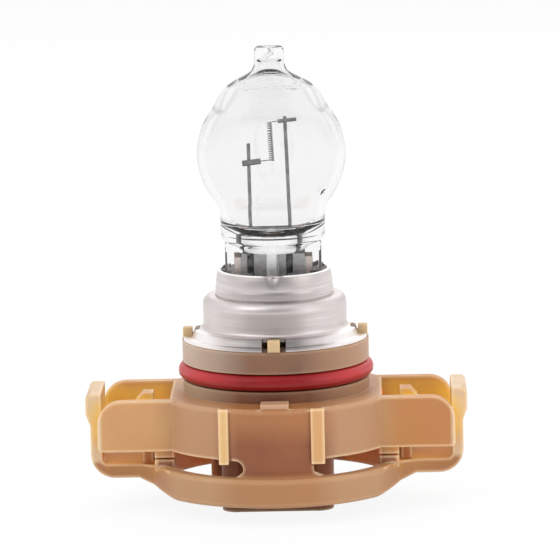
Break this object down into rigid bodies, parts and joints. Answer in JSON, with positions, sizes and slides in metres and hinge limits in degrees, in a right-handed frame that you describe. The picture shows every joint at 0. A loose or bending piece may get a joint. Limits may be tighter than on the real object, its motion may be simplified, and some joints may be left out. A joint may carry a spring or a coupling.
{
  "type": "halogen car bulb",
  "caption": "Halogen lamp bulb for a vehicle: pear-shaped clear glass in a metal collar, on a moulded plastic base with a seal ring, a plug socket and squeeze latches at its sides.",
  "frame": {"origin": "middle of the plug socket's lower rim, on which the bulb stands", "axes": "+Z along the bulb's axis towards the glass tip, +X towards the right latch, -Y towards the front"},
  "size_m": [0.04, 0.0276, 0.0484],
  "materials": {
    "base_plastic": "satin, slightly translucent amber",
    "seal_rubber": "smooth",
    "collar_metal": "satin",
    "clip_metal": "satin",
    "clear_glass": "polished",
    "support_wire": "satin",
    "filament_metal": "satin",
    "blade_metal": "tinned"
  },
  "bodies": {
    "root": {"base_moulding": "base_plastic", "seal_ring": "seal_rubber", "metal_cup": "collar_metal", "collar_sleeve": "collar_metal", "pinch_clip": "clip_metal", "glass_envelope": "clear_glass", "short_support_post": "support_wire", "long_support_post": "support_wire", "seal_foil_left": "support_wire", "seal_foil_right": "support_wire", "lead_wire_left": "support_wire", "lead_wire_right": "support_wire", "filament_coil": "filament_metal", "lower_filament_clamp": "support_wire", "upper_filament_clamp": "support_wire", "terminal_blade_left": "blade_metal", "terminal_blade_right": "blade_metal"}
  },
  "joints": []
}
